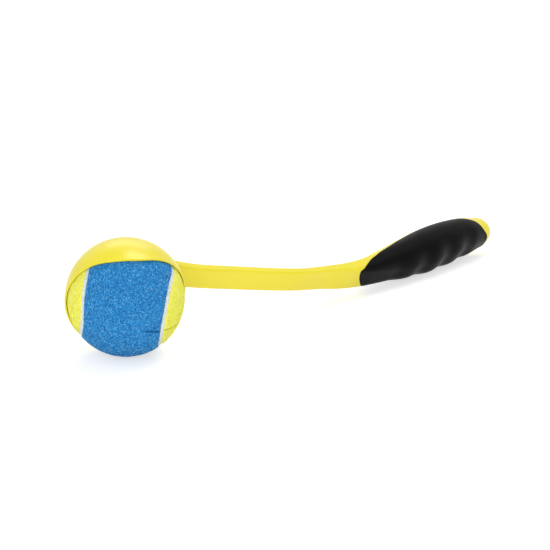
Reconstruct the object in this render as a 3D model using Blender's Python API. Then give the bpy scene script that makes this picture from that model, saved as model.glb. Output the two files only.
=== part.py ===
"""A dog ball thrower with its ball seated in the cup, lying on a floor.

The yellow thrower is one moulding: a thin cup, a flat bowed arm and the core, back and end of the handle.
A soft black grip with four finger grooves wraps the front and sides of the handle. The ball has a rubber
core of two halves, two interlocking felt panels and a white rubber seam between them.

Everything is in metres, in the thrower's own axes, and is then laid on the floor by two empties. The
thrower's axes start at the ball's centre: X runs to the handle's end, Y is sideways, and Z is the front,
where the cup opens and the fingers close.
"""

import math

import bmesh
import bpy
from mathutils import Matrix, Vector

# The ball
BALL_DIAMETER = 0.063
FELT_THICKNESS = 0.0022
CORE_WALL = 0.0034
SEAM_WIDTH = 0.0019
SEAM_SINK = 0.0003

# The cup
CUP_CLEARANCE = 0.00035
CUP_WALL = 0.0011

# The arm and the handle
REACH = 0.319
ARM_BOW = 0.0118
ARM_WIDTH = 0.0158
ARM_THICKNESS = 0.0046
ROOT_DEPTH = 0.0034
HANDLE_WIDTH = 0.0282
HANDLE_DEPTH = 0.0265

# The grip
GRIP_SKIN = 0.0038
EDGE_BOW = 0.0018
GROOVE_DEPTH = 0.0017
GROOVE_WIDTH = 0.0225
GROOVE_PITCH = 0.024
LAST_GROOVE = 0.0375

# Gap that touching pieces keep, and how far a cutter runs past what it cuts
PIECE_GAP = 0.0003
OVERRUN = 0.004

# How far apart the sections are along the arm, the handle, its core and the grooved grip, and the points
# of the cutters for the cup's mouth and the grip
ARM_STEP = 0.01
HANDLE_STEP = 0.0055
CORE_STEP = 0.008
GRIP_STEP = 0.0034
MOUTH_STEP = 0.0041
ROOM_STEP = 0.006

# Points closer than this are one point
MERGE_DISTANCE = 0.000001

# How the thrower lies: the turn about its length, and the side the cup's mouth leans to
ROLL = math.radians(36)
MOUTH_LEAN = math.radians(24)

# Where each width and depth below is taken, as shares of REACH from the ball's centre
STATION_SHARES = (0.05, 0.107, 0.169, 0.25, 0.39, 0.47, 0.527, 0.577, 0.633, 0.699, 0.771, 0.84, 0.909, 0.96)
# The middle of the arm and handle in front of the chord, as shares of ARM_BOW
BOW_SHARES = (-1.85, -1.29, -0.66, -0.1, 0.72, 0.95, 1.06, 1.03, 0.87, 0.69, 0.43, 0.17, -0.04, -0.165)
# Half of the way from the arm's width and depth to the handle's is a share of 0.5
WIDTH_SHARES = (0, 0, 0, 0, 0, 0.09, 0.17, 0.23, 0.4, 0.71, 0.97, 1.0, 0.82, 0.34)
DEPTH_SHARES = (0, 0, 0, 0, 0, 0.03, 0.155, 0.31, 0.52, 0.8, 0.98, 0.97, 0.83, 0.66)
# Corner radius as a share of the smaller half size
CORNER_SHARES = (0.55, 0.55, 0.55, 0.55, 0.55, 0.55, 0.62, 0.72, 0.84, 0.93, 0.96, 0.96, 0.96, 0.96)
END_SHARE = 0.955
# How deep each finger groove is, from the handle's end towards the ball, as a share of GROOVE_DEPTH
GROOVE_SHARES = (0.95, 1.0, 0.9, 0.35)

# The mouth's edge seen from the side, as shares of the cup's outer radius
MOUTH_SHARES = ((-1.3, -0.72), (-0.87, -0.46), (-0.58, -0.167), (-0.25, 0.026), (0.12, 0.108), (0.45, 0.18),
                (0.75, 0.29), (1.3, 0.53))

# The line between the grip and the frame seen from the side: the place along as a share of REACH, the
# distance from the middle of the handle to its front as a share of HANDLE_DEPTH, and how much nearer the
# ball the line lies for each step to the left, as a share of that step. Where it slants it also bows towards
# the ball, by that share of EDGE_BOW at the middle
GRIP_EDGE_SHARES = ((0.5535, 0.36, 0.8), (0.5535, 0.19, 0.8), (0.562, 0.13, 0.5), (0.574, 0.02, 0.25),
                    (0.586, -0.058, 0.1), (0.602, -0.122, 0), (0.618, -0.174, 0), (0.664, -0.277, 0),
                    (0.703, -0.36, 0), (0.76, -0.41, 0), (0.85, -0.43, 0), (0.89, -0.36, 0), (0.906, -0.26, 0),
                    (0.922, -0.15, 0), (0.937, -0.04, 0), (0.9455, 0.1, 0), (0.952, 0.2, 0), (0.961, 0.29, 0),
                    (0.968, 0.4, 0), (0.97, 0.62, 0))
CORE_START_SHARE = 0.6
CORE_END_SHARE = 0.93

# Where the arm's back starts to swell towards the cup, and where it is deepest, as shares of the cup's
# outer radius
SWELL_START_SHARE = 1.4
SWELL_END_SHARE = 0.5
# Where the sections start to lie closer together, and where the handle may touch the floor
FINE_START_SHARE = 0.5
REST_START_SHARE = 0.6

# The ball's seam is x = cos t + b cos 3t + c cos 5t, y = sin t - b sin 3t + c sin 5t, z = d sin 2t + e sin 6t,
# drawn onto a unit ball; these are b, c, d and e
SEAM_WAVE_SHARES = (0.2237, -0.0644, 0.8533, -0.0886)
BALL_TURN_AXIS = Vector((0.1983, -0.6813, -0.4348))

BALL_RADIUS = BALL_DIAMETER / 2
CORE_RADIUS = BALL_RADIUS - FELT_THICKNESS - PIECE_GAP
CUP_INSIDE = BALL_RADIUS + CUP_CLEARANCE
CUP_OUTSIDE = CUP_INSIDE + CUP_WALL

CORNER_STEPS = 5
RING_POINTS = 4 * (CORNER_STEPS + 2)
END_STEPS = 5
EDGE_STEPS = 3
SEAM_STEPS = 96
CUP_OUTSIDE_STEPS = 48
CUP_INSIDE_STEPS = 56
CORE_STEPS = 8
CORE_TURN_STEPS = 28
BALL_FINENESS = 4


def clear_scene():
    for item in list(bpy.data.objects):
        bpy.data.objects.remove(item, do_unlink=True)


def collection(name):
    made = bpy.data.collections.new(name)
    bpy.context.scene.collection.children.link(made)
    return made


def material(name, colour, roughness):
    made = bpy.data.materials.new(name)
    made.use_nodes = True
    shader = made.node_tree.nodes["Principled BSDF"]
    shader.inputs["Base Color"].default_value = (*colour, 1)
    shader.inputs["Roughness"].default_value = roughness
    shader.inputs["Metallic"].default_value = 0
    return made


def add_mesh(name, shape, parent, group, finish=None):
    """Turn a bmesh into an object; one without a finish is a cutter."""
    mesh = bpy.data.meshes.new(name)
    bmesh.ops.recalc_face_normals(shape, faces=shape.faces)
    shape.to_mesh(mesh)
    shape.free()
    return add_object(name, mesh, parent, group, finish)


def add_object(name, mesh, parent, group, finish):
    made = bpy.data.objects.new(name, mesh)
    group.objects.link(made)
    made.parent = parent
    if finish:
        mesh.materials.clear()
        mesh.materials.append(finish)
        mesh.shade_smooth()
        mesh.set_sharp_from_angle(angle=math.radians(35))
    else:
        made.hide_render = True
        made.display_type = "WIRE"
    return made


def boolean(target, cutter, operation):
    step = target.modifiers.new(operation.lower() + "_" + cutter.name, "BOOLEAN")
    step.operation = operation
    step.object = cutter


def empty(name, parent, group):
    made = bpy.data.objects.new(name, None)
    group.objects.link(made)
    made.parent = parent
    return made


def smooth(table, at):
    """Read a smooth curve through the points (place, value) of a table."""
    last = len(table) - 1
    k = 0
    while k < last - 1 and at > table[k + 1][0]:
        k += 1
    (x0, v0), (x1, v1) = table[k], table[k + 1]
    step = x1 - x0

    def slope(i):
        low, high = max(i - 1, 0), min(i + 1, last)
        return (table[high][1] - table[low][1]) / (table[high][0] - table[low][0])

    u = (at - x0) / step
    rise = u * u * (3 - 2 * u)
    start = u * (1 - u) * (1 - u) * step
    finish = u * u * (u - 1) * step
    return v0 + (v1 - v0) * rise + slope(k) * start + slope(k + 1) * finish


def along(shares, low, high):
    """Pair a table of shares with the stations, as real sizes from low to high."""
    return [(REACH * place, low + (high - low) * share) for place, share in zip(STATION_SHARES, shares)]


MIDDLE = along(BOW_SHARES, 0, ARM_BOW)
WIDTH = along(WIDTH_SHARES, ARM_WIDTH, HANDLE_WIDTH)
DEPTH = along(DEPTH_SHARES, ARM_THICKNESS, HANDLE_DEPTH)
CORNER = along(CORNER_SHARES, 0, 1)


def groove(x):
    """How deep the finger grooves are at a place along the handle."""
    deep = 0
    for k, share in enumerate(GROOVE_SHARES):
        off = abs(x - (REACH - LAST_GROOVE - k * GROOVE_PITCH)) / (GROOVE_WIDTH / 2)
        if off < 1:
            deep += GROOVE_DEPTH * share * (math.cos(math.pi * off) + 1) / 2
    return deep


def root_swell(x):
    """How far the arm's back swells where it runs into the cup."""
    start = CUP_OUTSIDE * SWELL_START_SHARE
    finish = CUP_OUTSIDE * SWELL_END_SHARE
    share = min(max((start - x) / (start - finish), 0), 1)
    return ROOT_DEPTH * share * share


def ring(x, inset, grooved):
    """One section: a rectangle with round corners, square to the middle line, with its front at +Z.

    An inset draws in the front and the sides but not the back, where the core runs out into the moulding.
    """
    end = REACH * END_SHARE
    size = 1
    place = min(x, end)
    if x > end:
        size = math.sqrt(max(1 - ((x - end) / (REACH - end)) ** 2, 0))
    half_width = size * smooth(WIDTH, place) / 2 - inset
    half_depth = size * smooth(DEPTH, place) / 2
    radius = smooth(CORNER, place) * min(half_width, half_depth)
    lean = math.atan2(smooth(MIDDLE, x + OVERRUN) - smooth(MIDDLE, x - OVERRUN), 2 * OVERRUN)
    middle = smooth(MIDDLE, x)
    points = []
    for corner in range(4):
        side = 1 if corner in (0, 3) else -1
        face = 1 if corner < 2 else -1
        for k in range(CORNER_STEPS + 1):
            angle = math.pi / 2 * (corner + k / CORNER_STEPS)
            across = side * (half_width - radius) + radius * math.cos(angle)
            out = face * (half_depth - radius) + radius * math.sin(angle)
            points.append([across, out])
        if corner in (0, 2):
            points.append([0, face * half_depth])
        else:
            points.append([side * half_width, 0])
    placed = []
    for across, out in points:
        if out > 0:
            out *= (half_depth - inset) / half_depth
        if grooved and out > 0:
            share = out / half_depth
            hollow = groove(x) * share * share
            reach = math.hypot(across, out)
            across *= 1 - hollow / reach
            out *= 1 - hollow / reach
        if out < 0:
            out -= root_swell(x) * -out / half_depth
        placed.append(Vector((x - out * math.sin(lean), across, middle + out * math.cos(lean))))
    return placed


def loft(stations, inset=0, grooved=False):
    """Skin the sections at the stations into one closed shape."""
    shape = bmesh.new()
    rows = [[shape.verts.new(point) for point in ring(x, inset, grooved)] for x in stations]
    for row, after in zip(rows, rows[1:]):
        for k in range(RING_POINTS):
            other = (k + 1) % RING_POINTS
            shape.faces.new((row[k], row[other], after[other], after[k]))
    shape.faces.new(rows[0])
    shape.faces.new(rows[-1])
    bmesh.ops.triangulate(shape, faces=[face for face in shape.faces if len(face.verts) > 4])
    return shape


def spread(start, finish, pitch):
    """Evenly spaced places from start to finish, about one pitch apart."""
    count = max(round((finish - start) / pitch), 1)
    return [start + (finish - start) * k / count for k in range(count + 1)]


def rounded_end():
    """Places that close in on the handle's end, so that the end is round."""
    end = REACH * END_SHARE
    turn = math.pi / 2 / (END_STEPS + 1)
    return [end + (REACH - end) * math.sin(turn * (k + 1)) for k in range(END_STEPS)]


def skin(outlines):
    """A solid through closed outlines of points that lie side by side."""
    shape = bmesh.new()
    rows = [[shape.verts.new(point) for point in outline] for outline in outlines]
    for row, after in zip(rows, rows[1:]):
        for k in range(len(row)):
            other = (k + 1) % len(row)
            shape.faces.new((row[k], row[other], after[other]))
            shape.faces.new((row[k], after[other], after[k]))
    shape.faces.new(rows[0])
    shape.faces.new(rows[-1])
    return shape


def sphere(radius, segments):
    """A ball whose rings lie square to the cup's opening."""
    shape = bmesh.new()
    bmesh.ops.create_uvsphere(shape, u_segments=segments, v_segments=segments // 2, radius=radius)
    lean = Matrix.Rotation(-MOUTH_LEAN, 3, "Y")
    bmesh.ops.rotate(shape, verts=shape.verts, cent=Vector(), matrix=lean)
    return shape


def mouth_room():
    """All that lies in front of the mouth's edge."""
    points = [(CUP_OUTSIDE * x, CUP_OUTSIDE * z) for x, z in MOUTH_SHARES]
    places = spread(points[0][0], points[-1][0], MOUTH_STEP)
    front = CUP_OUTSIDE + OVERRUN
    edge = [(x, smooth(points, x)) for x in places] + [(places[-1], front), (places[0], front)]
    return skin([[(x, y, z) for x, z in edge] for y in (-front, front)])


def grip_edge():
    """The line between the grip and the frame, as points of (along, out, slant)."""
    points = []
    for along_share, out_share, slant_share in GRIP_EDGE_SHARES:
        x = REACH * along_share
        points.append(Vector((x, smooth(MIDDLE, x) + HANDLE_DEPTH * out_share, slant_share)))
    fine = []
    for k in range(len(points) - 1):
        before = points[max(k - 1, 0)]
        start, finish = points[k], points[k + 1]
        after = points[min(k + 2, len(points) - 1)]
        for step in range(EDGE_STEPS):
            u = step / EDGE_STEPS
            fine.append(0.5 * (2 * start + (finish - before) * u
                               + (2 * before - 5 * start + 4 * finish - after) * u * u
                               + (3 * start - before - 3 * finish + after) * u * u * u))
    return fine + [points[-1]]


def grip_room(back):
    """All that the grip may fill; back moves its edge that far into the frame."""
    half_width = HANDLE_WIDTH / 2 + OVERRUN
    front = HANDLE_DEPTH + ARM_BOW
    edge = grip_edge()
    outlines = []
    for y in spread(-half_width, half_width, ROOM_STEP):
        bow = EDGE_BOW * (1 - (y / (ARM_WIDTH / 2)) ** 2)
        bend = 1 - 2 * EDGE_BOW * y / (ARM_WIDTH / 2) ** 2
        line = [Vector((x - slant * (y + bow), y, z)) for x, z, slant in edge]
        moved = []
        for k, point in enumerate(line):
            run = line[min(k + 1, len(line) - 1)] - line[max(k - 1, 0)]
            across = Vector((-edge[k].z * bend, 1, 0))
            moved.append(point + across.cross(run).normalized() * back)
        moved.append(Vector((moved[-1].x, y, front)))
        moved.append(Vector((moved[0].x, y, front)))
        outlines.append(moved)
    return skin(outlines)


def seam_point(t):
    """A point of the seam on a unit ball, for an angle t round the ball."""
    b, c, d, e = SEAM_WAVE_SHARES
    point = Vector((math.cos(t) + b * math.cos(3 * t) + c * math.cos(5 * t),
                    math.sin(t) - b * math.sin(3 * t) + c * math.sin(5 * t),
                    d * math.sin(2 * t) + e * math.sin(6 * t)))
    return point.normalized()


def seam_sweep(inside, outside, width):
    """A strip of the given width that follows the seam, from one radius to another."""
    shape = bmesh.new()
    rows = []
    turn = 2 * math.pi / SEAM_STEPS
    for k in range(SEAM_STEPS):
        out = seam_point(turn * k)
        run = seam_point(turn * (k + 1)) - seam_point(turn * (k - 1))
        side = out.cross(run).normalized() * width / 2
        corners = (out * inside - side, out * outside - side, out * outside + side, out * inside + side)
        rows.append([shape.verts.new(corner) for corner in corners])
    for k, row in enumerate(rows):
        after = rows[(k + 1) % SEAM_STEPS]
        for j in range(4):
            other = (j + 1) % 4
            shape.faces.new((row[j], row[other], after[other], after[j]))
    return shape


def ico(radius):
    shape = bmesh.new()
    bmesh.ops.create_icosphere(shape, subdivisions=BALL_FINENESS, radius=radius)
    return shape


def make_frame(axes, parts, cutters):
    """The yellow moulding: cup, arm, handle core, back and end."""
    root = CUP_OUTSIDE * SWELL_END_SHARE
    handle = REACH * FINE_START_SHARE
    end = REACH * END_SHARE
    stations = spread(root, handle, ARM_STEP)[:-1] + spread(handle, end, HANDLE_STEP) + rounded_end()
    yellow = material("yellow_plastic", (0.86, 0.78, 0.06), 0.38)
    frame = add_mesh("thrower_frame", loft(stations), axes, parts, yellow)

    grip_space = add_mesh("grip_space", grip_room(PIECE_GAP), axes, cutters)
    core_stations = spread(REACH * CORE_START_SHARE, REACH * CORE_END_SHARE, CORE_STEP)
    core = add_mesh("handle_core", loft(core_stations, GRIP_SKIN), axes, cutters)
    cup_outside = add_mesh("cup_outside", sphere(CUP_OUTSIDE, CUP_OUTSIDE_STEPS), axes, cutters)
    cup_inside = add_mesh("cup_inside", sphere(CUP_INSIDE, CUP_INSIDE_STEPS), axes, cutters)
    mouth = add_mesh("cup_mouth", mouth_room(), axes, cutters)

    boolean(frame, grip_space, "DIFFERENCE")
    boolean(frame, core, "UNION")
    boolean(frame, cup_outside, "UNION")
    boolean(frame, cup_inside, "DIFFERENCE")
    boolean(frame, mouth, "DIFFERENCE")
    return frame


def make_grip(axes, parts, cutters):
    """The soft black grip, moulded round the handle's core."""
    start = REACH * GRIP_EDGE_SHARES[0][0] - ARM_WIDTH / 2 - OVERRUN
    end = REACH * END_SHARE
    stations = spread(start, end, GRIP_STEP) + rounded_end()
    black = material("black_rubber", (0.012, 0.012, 0.013), 0.55)
    grip = add_mesh("handle_grip", loft(stations, grooved=True), axes, parts, black)

    grip_limit = add_mesh("grip_limit", grip_room(0), axes, cutters)
    core_start = REACH * CORE_START_SHARE - PIECE_GAP
    core_end = REACH * CORE_END_SHARE + PIECE_GAP
    room = loft(spread(core_start, core_end, CORE_STEP), GRIP_SKIN - PIECE_GAP)
    core_room = add_mesh("core_room", room, axes, cutters)
    boolean(grip, grip_limit, "INTERSECT")
    boolean(grip, core_room, "DIFFERENCE")
    return grip


def make_core_halves(axes, parts):
    """The ball's two rubber cups, which meet at its middle."""
    rubber = material("core_rubber", (0.05, 0.05, 0.045), 0.7)
    outside = range(CORE_STEPS + 1)
    for name, side in (("ball_core_front", 1), ("ball_core_back", -1)):
        shape = bmesh.new()
        points = []
        for radius, order in ((CORE_RADIUS, outside), (CORE_RADIUS - CORE_WALL, reversed(outside))):
            foot = math.asin(PIECE_GAP / 2 / radius)
            for k in order:
                angle = foot + (math.pi / 2 - foot) * k / CORE_STEPS
                points.append(Vector((radius * math.cos(angle), 0, side * radius * math.sin(angle))))
        verts = [shape.verts.new(point) for point in points]
        edges = [shape.edges.new(pair) for pair in zip(verts, verts[1:] + verts[:1])]
        on_axis = shape.edges.get((verts[CORE_STEPS], verts[CORE_STEPS + 1]))
        edges.remove(on_axis)
        shape.edges.remove(on_axis)
        bmesh.ops.spin(shape, geom=verts + edges, cent=Vector(), axis=Vector((0, 0, 1)), dvec=Vector(),
                       angle=2 * math.pi, steps=CORE_TURN_STEPS, use_merge=True)
        bmesh.ops.remove_doubles(shape, verts=shape.verts, dist=MERGE_DISTANCE)
        add_mesh(name, shape, axes, parts, rubber)


def make_ball_cover(axes, parts, cutters):
    """The two felt panels and the seam that divides them."""
    white = material("seam_rubber", (0.75, 0.77, 0.76), 0.6)
    seam_inside = CORE_RADIUS + PIECE_GAP
    add_mesh("ball_seam", seam_sweep(seam_inside, BALL_RADIUS - SEAM_SINK, SEAM_WIDTH), axes, parts, white)

    shell = add_mesh("felt_shell", ico(BALL_RADIUS), axes, cutters)
    hollow = add_mesh("felt_hollow", ico(BALL_RADIUS - FELT_THICKNESS), axes, cutters)
    room = seam_sweep(seam_inside - OVERRUN, BALL_RADIUS + OVERRUN, SEAM_WIDTH + 2 * PIECE_GAP)
    channel = add_mesh("seam_channel", room, axes, cutters)
    boolean(shell, hollow, "DIFFERENCE")
    boolean(shell, channel, "DIFFERENCE")
    bpy.context.view_layer.update()
    whole = bpy.data.meshes.new_from_object(shell.evaluated_get(bpy.context.evaluated_depsgraph_get()))

    blue = material("blue_felt", (0.035, 0.21, 0.52), 0.95)
    yellow = material("yellow_felt", (0.8, 0.83, 0.12), 0.95)
    for name, finish, at_top in (("ball_felt_blue", blue, True), ("ball_felt_yellow", yellow, False)):
        shape = bmesh.new()
        shape.from_mesh(whole)
        bmesh.ops.remove_doubles(shape, verts=shape.verts, dist=MERGE_DISTANCE)
        pole = max(shape.verts, key=lambda vert: vert.co.z)
        top = panel_of(pole)
        unwanted = [vert for vert in shape.verts if (vert in top) != at_top]
        bmesh.ops.delete(shape, geom=unwanted, context="VERTS")
        add_mesh(name, shape, axes, parts, finish)
    bpy.data.meshes.remove(whole)


def panel_of(start):
    """All the points joined to one point by edges."""
    found = {start}
    waiting = [start]
    while waiting:
        vert = waiting.pop()
        for edge in vert.link_edges:
            other = edge.other_vert(vert)
            if other not in found:
                found.add(other)
                waiting.append(other)
    return found


def resting_pitch():
    """How far the handle drops when the thrower lies on its ball and its handle."""
    turn = Matrix.Rotation(math.pi / 2 + ROLL, 3, "X")
    least = math.pi
    for x in spread(REACH * REST_START_SHARE, REACH * END_SHARE, GRIP_STEP) + rounded_end():
        for point in ring(x, 0, False):
            turned = turn @ point
            reach = math.hypot(turned.x, turned.z)
            least = min(least, math.asin(BALL_RADIUS / reach) + math.atan2(turned.z, turned.x))
    return least


def stand_over_origin(lying, parts):
    """Move the whole object so that its box stands on the origin."""
    bpy.context.view_layer.update()
    graph = bpy.context.evaluated_depsgraph_get()
    points = []
    for item in parts.objects:
        if item.type == "MESH":
            ready = item.evaluated_get(graph)
            points += [item.matrix_world @ vert.co for vert in ready.data.vertices]
    low = [min(point[k] for point in points) for k in range(3)]
    high = [max(point[k] for point in points) for k in range(3)]
    lying.location -= Vector(((low[0] + high[0]) / 2, (low[1] + high[1]) / 2, low[2]))


def main():
    clear_scene()
    parts = collection("dog_ball_thrower")
    cutters = collection("cutters")
    lying = empty("lying_on_floor", None, parts)
    lying.rotation_euler = (math.pi / 2 + ROLL, resting_pitch(), 0)
    ball_centre = empty("ball_centre", lying, parts)
    ball_centre.rotation_euler = Matrix.Rotation(BALL_TURN_AXIS.length, 3, BALL_TURN_AXIS).to_euler()

    make_frame(lying, parts, cutters)
    make_grip(lying, parts, cutters)
    make_core_halves(ball_centre, parts)
    make_ball_cover(ball_centre, parts, cutters)
    stand_over_origin(lying, parts)
    bpy.context.view_layer.update()


main()
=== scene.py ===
# %% [markdown]
# # A dog ball thrower with its ball
#
# The real object is a plastic thrower with a thin round cup, a flat bowed arm and a soft black grip, and a
# felt ball that sits in the cup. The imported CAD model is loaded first. It is the fixed frame: every new
# piece below takes the place of one of its solids and keeps that solid's size and place.

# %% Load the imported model
import math

import bmesh
import bpy
import numpy as np
from mathutils import Euler, Matrix, Vector
from mathutils.bvhtree import BVHTree
from mathutils.kdtree import KDTree


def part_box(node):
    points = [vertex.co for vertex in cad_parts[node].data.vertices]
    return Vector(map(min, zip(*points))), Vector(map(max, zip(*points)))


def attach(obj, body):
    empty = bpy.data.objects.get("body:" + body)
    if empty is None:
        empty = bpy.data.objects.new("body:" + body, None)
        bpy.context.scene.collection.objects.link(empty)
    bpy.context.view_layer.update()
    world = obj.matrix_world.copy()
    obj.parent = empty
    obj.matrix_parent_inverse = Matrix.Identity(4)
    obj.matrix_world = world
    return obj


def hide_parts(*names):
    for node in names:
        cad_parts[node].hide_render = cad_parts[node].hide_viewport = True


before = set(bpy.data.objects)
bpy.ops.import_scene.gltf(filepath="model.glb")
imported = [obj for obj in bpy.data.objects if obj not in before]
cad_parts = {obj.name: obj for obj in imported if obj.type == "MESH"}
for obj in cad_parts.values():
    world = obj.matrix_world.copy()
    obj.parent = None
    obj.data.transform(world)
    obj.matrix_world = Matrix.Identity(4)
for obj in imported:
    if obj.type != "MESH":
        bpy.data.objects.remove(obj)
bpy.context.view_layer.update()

# %% [markdown]
# ## Where the object lies
#
# The thrower is easiest to model in its own axes: the origin is the ball's centre, X runs to the end of the
# handle, Y is sideways, and Z is the front, where the cup opens and the fingers close. The ball's centre is
# the middle of the two felt solids. The thrower lies rolled towards the camera, on its ball and its handle,
# so one matrix of a roll and a pitch takes a finished piece from these axes to the floor.

# %% The thrower's own axes
BALL_RADIUS = 0.0315
ROLL = math.radians(36)
PITCH = math.radians(3.389)
MOUTH_LEAN = math.radians(24)
BALL_TURN_AXIS = Vector((0.1983, -0.6813, -0.4348))

boxes = [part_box("ball_felt_blue"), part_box("ball_felt_yellow")]
ball_centre = Vector()
for k in range(3):
    ball_centre[k] = (min(low[k] for low, high in boxes) + max(high[k] for low, high in boxes)) / 2
THROWER_AXES = Matrix.Translation(ball_centre) @ Euler((math.pi / 2 + ROLL, PITCH, 0)).to_matrix().to_4x4()
BALL_AXES = THROWER_AXES @ Matrix.Rotation(BALL_TURN_AXIS.length, 4, BALL_TURN_AXIS)
opening = THROWER_AXES.to_3x3() @ Vector((-math.sin(MOUTH_LEAN), 0, math.cos(MOUTH_LEAN)))
print("ball centre", [round(v, 5) for v in ball_centre], "cup opens towards", [round(v, 4) for v in opening])

# %% [markdown]
# ## Camera
#
# The photograph was taken with a long lens, from a little above the floor and from the left of the handle.
# The camera is placed from its two view angles and from how far the ball is from it, so that the ball and
# the handle's end fall where they are in the photograph.

# %% Camera
VIEW_AZIMUTH = math.radians(46.17)
VIEW_ELEVATION = math.radians(14.7)
BALL_IN_VIEW = Vector((-0.08018, -0.012377, 1.00093))
FOCAL_PIXELS = 1860
PICTURE_PIXELS = 550
SENSOR_MM = 36

right = Vector((math.cos(VIEW_AZIMUTH), -math.sin(VIEW_AZIMUTH), 0))
forward = Vector((math.sin(VIEW_AZIMUTH) * math.cos(VIEW_ELEVATION),
                  math.cos(VIEW_AZIMUTH) * math.cos(VIEW_ELEVATION), -math.sin(VIEW_ELEVATION)))
up = right.cross(forward)
eye = ball_centre - right * BALL_IN_VIEW.x - up * BALL_IN_VIEW.y - forward * BALL_IN_VIEW.z
bpy.ops.object.camera_add(location=eye, rotation=Matrix((right, up, -forward)).transposed().to_euler())
camera = bpy.context.object
camera.name = "product_camera"
camera.data.sensor_width = SENSOR_MM
camera.data.lens = FOCAL_PIXELS / PICTURE_PIXELS * SENSOR_MM
camera.data.clip_start = 0.01
bpy.context.scene.camera = camera
print("camera at", [round(v, 3) for v in eye], "lens", round(camera.data.lens, 1), "mm")

# %% [markdown]
# ## Building materials from nodes
#
# Every finish below is a Principled shader fed by a few noise patterns. A few helpers keep that short. One
# adds a node and joins its inputs, and one makes a noise pattern of a real size in millimetres, which can be
# stretched into streaks. The others map a pattern to another span, mix two colours by it, and emboss it.

# %% Helpers for materials
MM = 0.001


def add_node(tree, kind, inputs=None, **settings):
    """Add a node, set its options, and set or join its inputs."""
    made = tree.nodes.new(kind)
    for key, value in settings.items():
        setattr(made, key, value)
    for key, value in (inputs or {}).items():
        if isinstance(value, bpy.types.NodeSocket):
            tree.links.new(value, made.inputs[key])
        else:
            made.inputs[key].default_value = value
    return made


def new_finish(name):
    """A material, its node tree and its shader."""
    made = bpy.data.materials.new(name)
    made.use_nodes = True
    return made, made.node_tree, made.node_tree.nodes["Principled BSDF"]


def grain(tree, size_mm, detail=2.0, distortion=0.0, stretch=(1, 1, 1), turn=(0, 0, 0)):
    """A noise pattern whose spots are about size_mm across, from 0 to 1."""
    place = add_node(tree, "ShaderNodeTexCoord").outputs["Object"]
    turned = add_node(tree, "ShaderNodeMapping", {"Vector": place, "Rotation": turn})
    scaled = add_node(tree, "ShaderNodeMapping", {"Vector": turned.outputs["Vector"], "Scale": stretch})
    noise = add_node(tree, "ShaderNodeTexNoise", {"Vector": scaled.outputs["Vector"], "Detail": detail,
                                                   "Scale": 1 / (size_mm * MM), "Distortion": distortion})
    return noise.outputs["Fac"]


def between(tree, pattern, start, finish, low, high):
    """Map a pattern from the span start..finish to the span low..high."""
    made = add_node(tree, "ShaderNodeMapRange", {"Value": pattern, "From Min": start, "From Max": finish,
                                                  "To Min": low, "To Max": high})
    return made.outputs["Result"]


def tint(tree, pattern, colour, other):
    """Mix two colours by a pattern. The first may be the outcome of another mix."""
    made = add_node(tree, "ShaderNodeMix", {"Factor": pattern}, data_type="RGBA")
    if isinstance(colour, bpy.types.NodeSocket):
        tree.links.new(colour, made.inputs[6])
    else:
        made.inputs[6].default_value = (*colour, 1)
    made.inputs[7].default_value = (*other, 1)
    return made.outputs[2]


def relief(tree, shader, pattern, height_mm, before=None):
    """Turn a pattern into small bumps of the given height, on top of others."""
    made = add_node(tree, "ShaderNodeBump", {"Height": pattern, "Distance": height_mm * MM})
    if before:
        tree.links.new(before, made.inputs["Normal"])
    tree.links.new(made.outputs["Normal"], shader.inputs["Normal"])
    return made.outputs["Normal"]


print("patterns are sized in units of", MM, "m")

# %% [markdown]
# ## The floor
#
# The photograph shows the object on a white table, with a thin shadow under the ball and a faint one beside
# the handle. A plain white floor would come out grey, or would need so much light that the object washes
# out. So the floor glows a little to the camera and to reflections, which makes it white and keeps its
# shadows, and it is a plain pale diffuse surface to every other ray.

# %% Floor
FLOOR_SIZE = 12
FLOOR_GLOW = 0.6
FLOOR_SHADE = (0.66, 0.66, 0.665, 1)
FLOOR_BOUNCE = (0.95, 0.95, 0.95, 1)
WHITE = (1, 1, 1, 1)


def seen_directly(tree):
    """1 for camera, glossy and transmission rays, 0 for the rest."""
    rays = add_node(tree, "ShaderNodeLightPath").outputs
    seen = rays["Is Camera Ray"]
    for other in ("Is Glossy Ray", "Is Transmission Ray"):
        seen = add_node(tree, "ShaderNodeMath", {0: seen, 1: rays[other]}, operation="MAXIMUM").outputs[0]
    return seen


bpy.ops.object.select_all(action="DESELECT")
bpy.ops.mesh.primitive_plane_add(size=FLOOR_SIZE)
floor = bpy.context.object
floor.name = "floor"
floor_white = bpy.data.materials.new("floor_white")
floor_white.use_nodes = True
tree = floor_white.node_tree
tree.nodes.clear()
pale = add_node(tree, "ShaderNodeBsdfDiffuse", {"Color": FLOOR_BOUNCE})
shaded = add_node(tree, "ShaderNodeBsdfDiffuse", {"Color": FLOOR_SHADE})
glow = add_node(tree, "ShaderNodeEmission", {"Color": WHITE, "Strength": FLOOR_GLOW})
lit = add_node(tree, "ShaderNodeAddShader", {0: shaded.outputs[0], 1: glow.outputs[0]})
mixed = add_node(tree, "ShaderNodeMixShader", {0: seen_directly(tree), 1: pale.outputs[0], 2: lit.outputs[0]})
add_node(tree, "ShaderNodeOutputMaterial", {"Surface": mixed.outputs[0]})
floor.data.materials.append(floor_white)
print("floor", FLOOR_SIZE, "m")

# %% [markdown]
# ## The room's light and the lamps
#
# Most of the light is even and soft, as in a white room, and a little stronger from the left, where the
# photograph's ball is brightest. Four wide lamps add the highlights on the cup and the pale band along the
# arm's upper edge. Each lamp faces the ball, with its long side level in the camera's view.

# %% World and lamps
LIGHT_FROM_LEFT = 0.76
LIGHT_FROM_RIGHT = 0.44

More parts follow.
